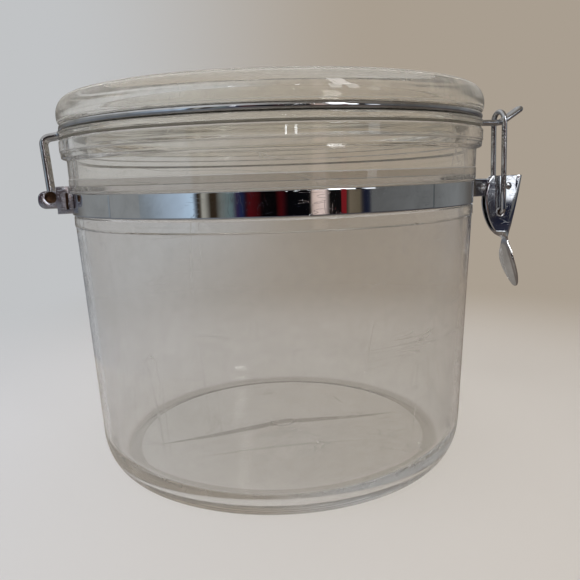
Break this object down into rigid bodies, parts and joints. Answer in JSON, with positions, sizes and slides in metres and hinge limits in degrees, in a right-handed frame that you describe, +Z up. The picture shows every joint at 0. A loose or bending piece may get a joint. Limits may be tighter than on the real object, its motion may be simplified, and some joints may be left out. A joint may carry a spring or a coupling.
{
  "type": "food canister",
  "caption": "Wide clear plastic food canister with a hinged lid on a wire ring and an over-centre wire clamp.",
  "frame": {"origin": "centre of the base, on the surface that the canister stands on", "axes": "+Z up, +X towards the latch, -X towards the hinge, Y along the hinge and latch pivots"},
  "size_m": [0.2549, 0.2012, 0.175],
  "materials": {
    "clear_plastic": "clear, glossy, lightly scratched",
    "gasket": "translucent silicone",
    "wire": "bright plated",
    "band": "bright plated"
  },
  "bodies": {
    "canister": {"jar": "clear_plastic", "neck_band": "band", "hinge_bracket": "band", "clamp_rivet": "wire", "pivot_rivet": "wire"},
    "lid": {"lid": "clear_plastic", "gasket": "gasket", "lid_wire": "wire"},
    "lever": {"lever": "band"},
    "bail": {"bail": "wire"}
  },
  "joints": [
    {"name": "lid_hinge", "type": "hinge", "parent": "canister", "child": "lid", "pos_m": [-0.1055, 0, 0.1315], "axis": [0, -1, 0], "range_deg": [0, 190]},
    {"name": "lever_pivot", "type": "hinge", "parent": "canister", "child": "lever", "pos_m": [0.1348, 0, 0.1285], "axis": [0, -1, 0], "range_deg": [0, 105]},
    {"name": "bail_pivot", "type": "hinge", "parent": "lever", "child": "bail", "pos_m": [0.13, 0, 0.1142], "axis": [0, -1, 0], "range_deg": [-73.6, 0]}
  ],
  "couplings": [
    {"joint": "bail_pivot", "follows": "lever_pivot", "ratio": -0.7}
  ]
}
